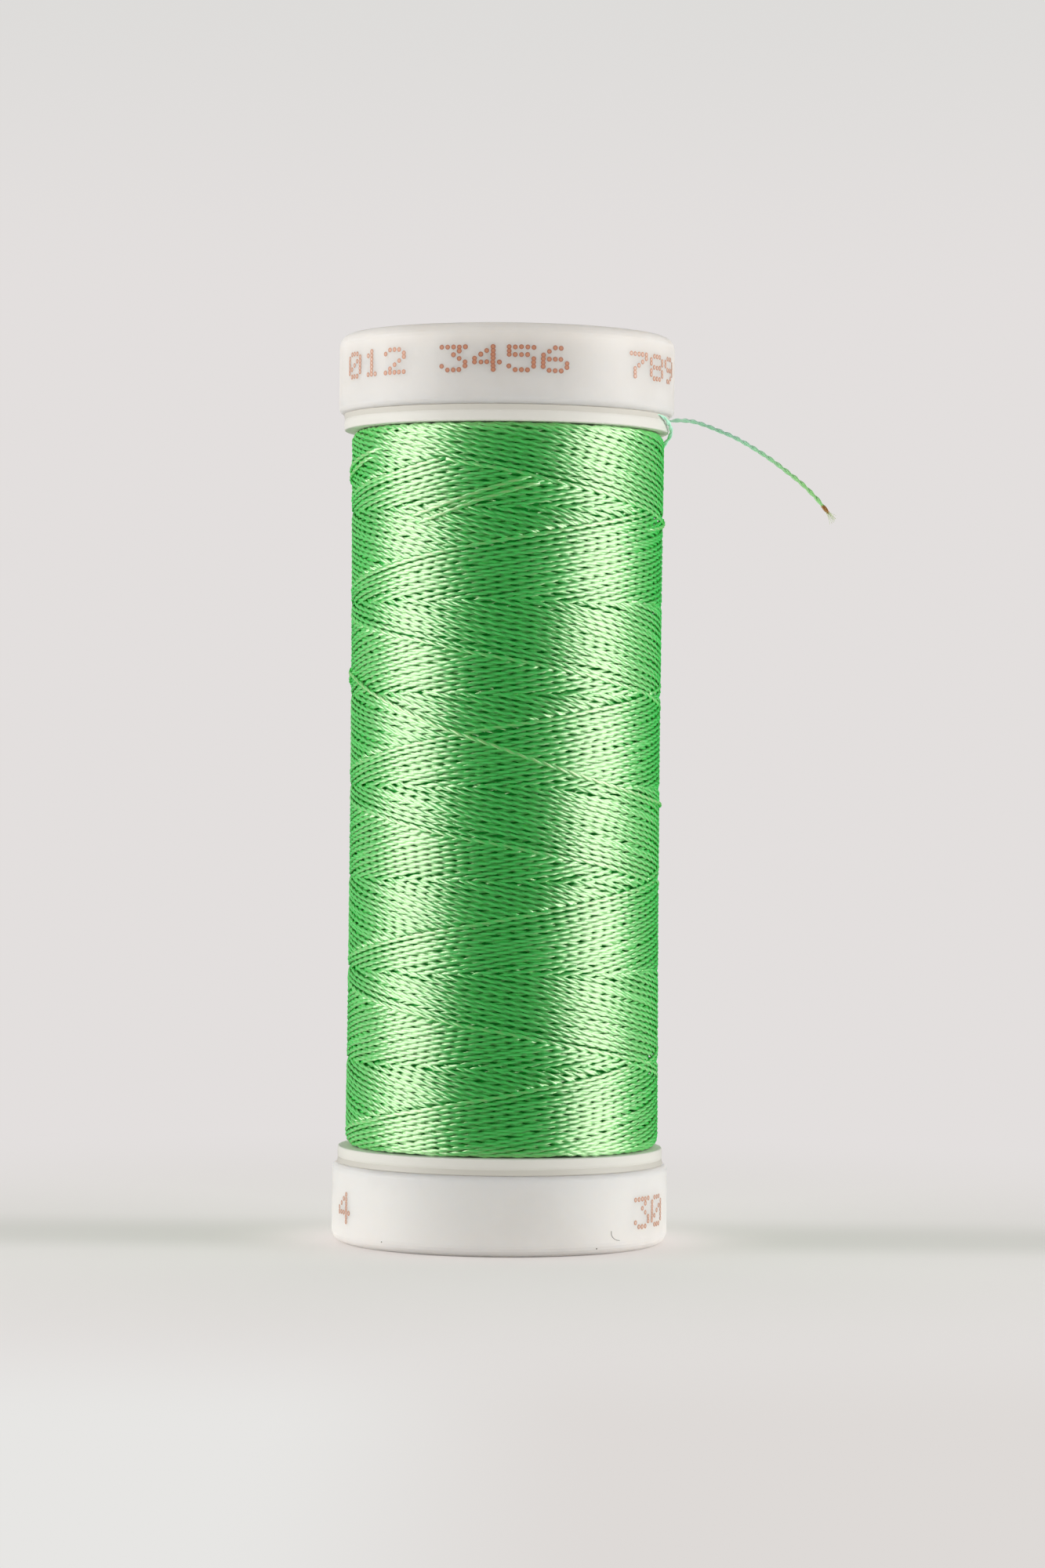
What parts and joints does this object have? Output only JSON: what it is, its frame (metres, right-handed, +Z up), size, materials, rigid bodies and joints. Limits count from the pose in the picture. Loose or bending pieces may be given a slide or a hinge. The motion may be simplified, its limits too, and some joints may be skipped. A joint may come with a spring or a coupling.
{
  "type": "spool of thread",
  "caption": "Sewing thread wound on a hollow plastic spool; snap caps at both ends pull out to open a gap that grips the loose thread end.",
  "frame": {"origin": "on the spool's axis, in the plane that the base cap stands on", "axes": "+Z up along the spool's axis; +X towards the side where the loose thread end comes out; -Y towards the viewer"},
  "size_m": [0.0324, 0.0224, 0.0604],
  "materials": {
    "spool_plastic": "smooth glossy injection moulding, warm white",
    "thread": "two-ply polyester thread with a soft sheen, grass green"
  },
  "bodies": {
    "base": {"base_cap": "spool_plastic"},
    "reel": {"barrel": "spool_plastic", "thread_core": "thread", "thread_winding": "thread", "thread_tail": "thread"},
    "top": {"top_cap": "spool_plastic"}
  },
  "joints": [
    {"name": "base_snap", "type": "slide", "parent": "base", "child": "reel", "axis": [0, 0, 1], "range_m": [0, 0.0025]},
    {"name": "top_snap", "type": "slide", "parent": "reel", "child": "top", "axis": [0, 0, 1], "range_m": [0, 0.0025]}
  ]
}
